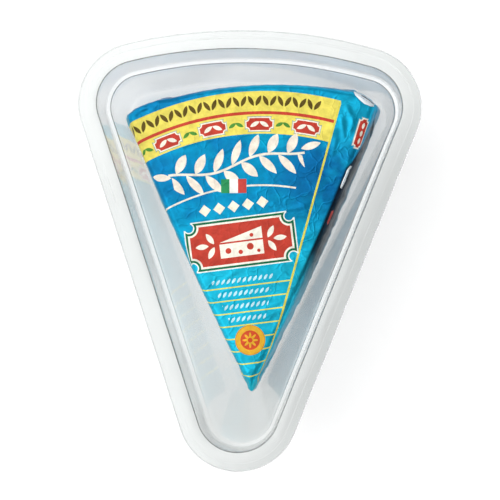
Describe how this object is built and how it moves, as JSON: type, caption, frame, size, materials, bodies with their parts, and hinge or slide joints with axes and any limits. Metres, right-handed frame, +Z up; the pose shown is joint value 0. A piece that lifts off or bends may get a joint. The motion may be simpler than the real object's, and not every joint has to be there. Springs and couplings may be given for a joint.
{
  "type": "wrapped gorgonzola wedge",
  "caption": "Foil-wrapped wedge of blue cheese lying in an open wedge-shaped tray of thin clear plastic with a wide flange and a stacking ledge.",
  "frame": {"origin": "under the middle of the tray's bounding box, on the plane that the tray stands on", "axes": "+Z up; +Y along the tray's length, from its narrow end to its long rounded side; +X to the right seen from above with the narrow end towards the viewer"},
  "size_m": [0.1408, 0.18, 0.045],
  "materials": {
    "tray_plastic": "thermoformed clear plastic, faintly frosted and glossy",
    "printed_foil": "crinkled aluminium foil printed in blue, yellow, red and cream"
  },
  "bodies": {
    "root": {"tray": "tray_plastic", "wrapped_wedge": "printed_foil"}
  },
  "joints": []
}
